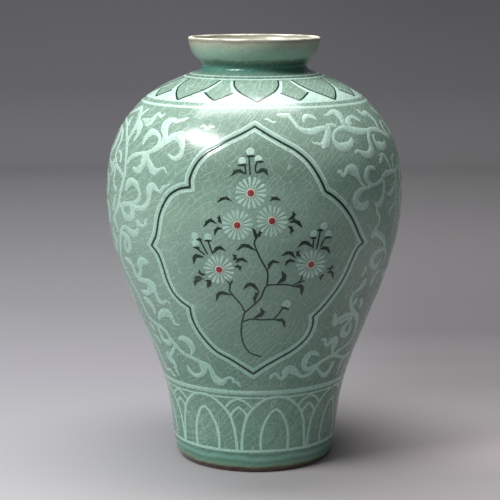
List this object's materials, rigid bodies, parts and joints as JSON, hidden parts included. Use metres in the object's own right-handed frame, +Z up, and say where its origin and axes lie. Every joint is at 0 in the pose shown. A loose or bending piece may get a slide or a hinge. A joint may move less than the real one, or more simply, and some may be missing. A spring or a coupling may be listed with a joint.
{
  "type": "inlaid celadon vase",
  "caption": "Tall round-shouldered vase with a short waisted neck and flared mouth, for holding a stem of flowers, under a crackled grey-green glaze over slip inlay.",
  "frame": {"origin": "centre of the foot ring, on the surface that the vase stands on", "axes": "+Z up along the vase's axis, -Y towards the front medallion, +X to the viewer's right"},
  "size_m": [0.2088, 0.209, 0.2998],
  "materials": {
    "celadon_body": "grey-green crackled gloss glaze",
    "white_slip": "white slip under the gloss glaze",
    "black_slip": "black slip under the gloss glaze",
    "red_slip": "copper-red slip under the gloss glaze"
  },
  "bodies": {
    "root": {"back_flower_1": "white_slip", "back_flower_2": "white_slip", "back_flower_3": "white_slip", "back_flower_4": "white_slip", "back_flower_5": "white_slip", "back_flower_centre_1": "red_slip", "back_flower_centre_2": "red_slip", "back_flower_centre_3": "red_slip", "back_flower_centre_4": "red_slip", "back_flower_centre_5": "red_slip", "back_frame_inner": "white_slip", "back_frame_line": "black_slip", "back_frame_outer": "white_slip", "back_stem": "black_slip", "band_line_lower": "white_slip", "band_line_upper": "white_slip", "collar_ground": "white_slip", "collar_line": "white_slip", "collar_petal_line_1": "black_slip", "collar_petal_line_2": "black_slip", "collar_petal_line_3": "black_slip", "collar_petal_line_4": "black_slip", "collar_petal_line_5": "black_slip", "collar_petal_line_6": "black_slip", "collar_petal_line_7": "black_slip", "collar_petal_line_8": "black_slip", "collar_tip_line_1": "black_slip", "collar_tip_line_2": "black_slip", "collar_tip_line_3": "black_slip", "collar_tip_line_4": "black_slip", "collar_tip_line_5": "black_slip", "collar_tip_line_6": "black_slip", "collar_tip_line_7": "black_slip", "collar_tip_line_8": "black_slip", "front_flower_1": "white_slip", "front_flower_2": "white_slip", "front_flower_3": "white_slip", "front_flower_4": "white_slip", "front_flower_5": "white_slip", "front_flower_centre_1": "red_slip", "front_flower_centre_2": "red_slip", "front_flower_centre_3": "red_slip", "front_flower_centre_4": "red_slip", "front_flower_centre_5": "red_slip", "front_frame_inner": "white_slip", "front_frame_line": "black_slip", "front_frame_outer": "white_slip", "front_stem": "black_slip", "lower_body": "celadon_body", "neck_and_mouth": "celadon_body", "neck_line_lower": "white_slip", "neck_line_upper": "white_slip", "panel_lines": "white_slip", "upper_body": "celadon_body"}
  },
  "joints": []
}
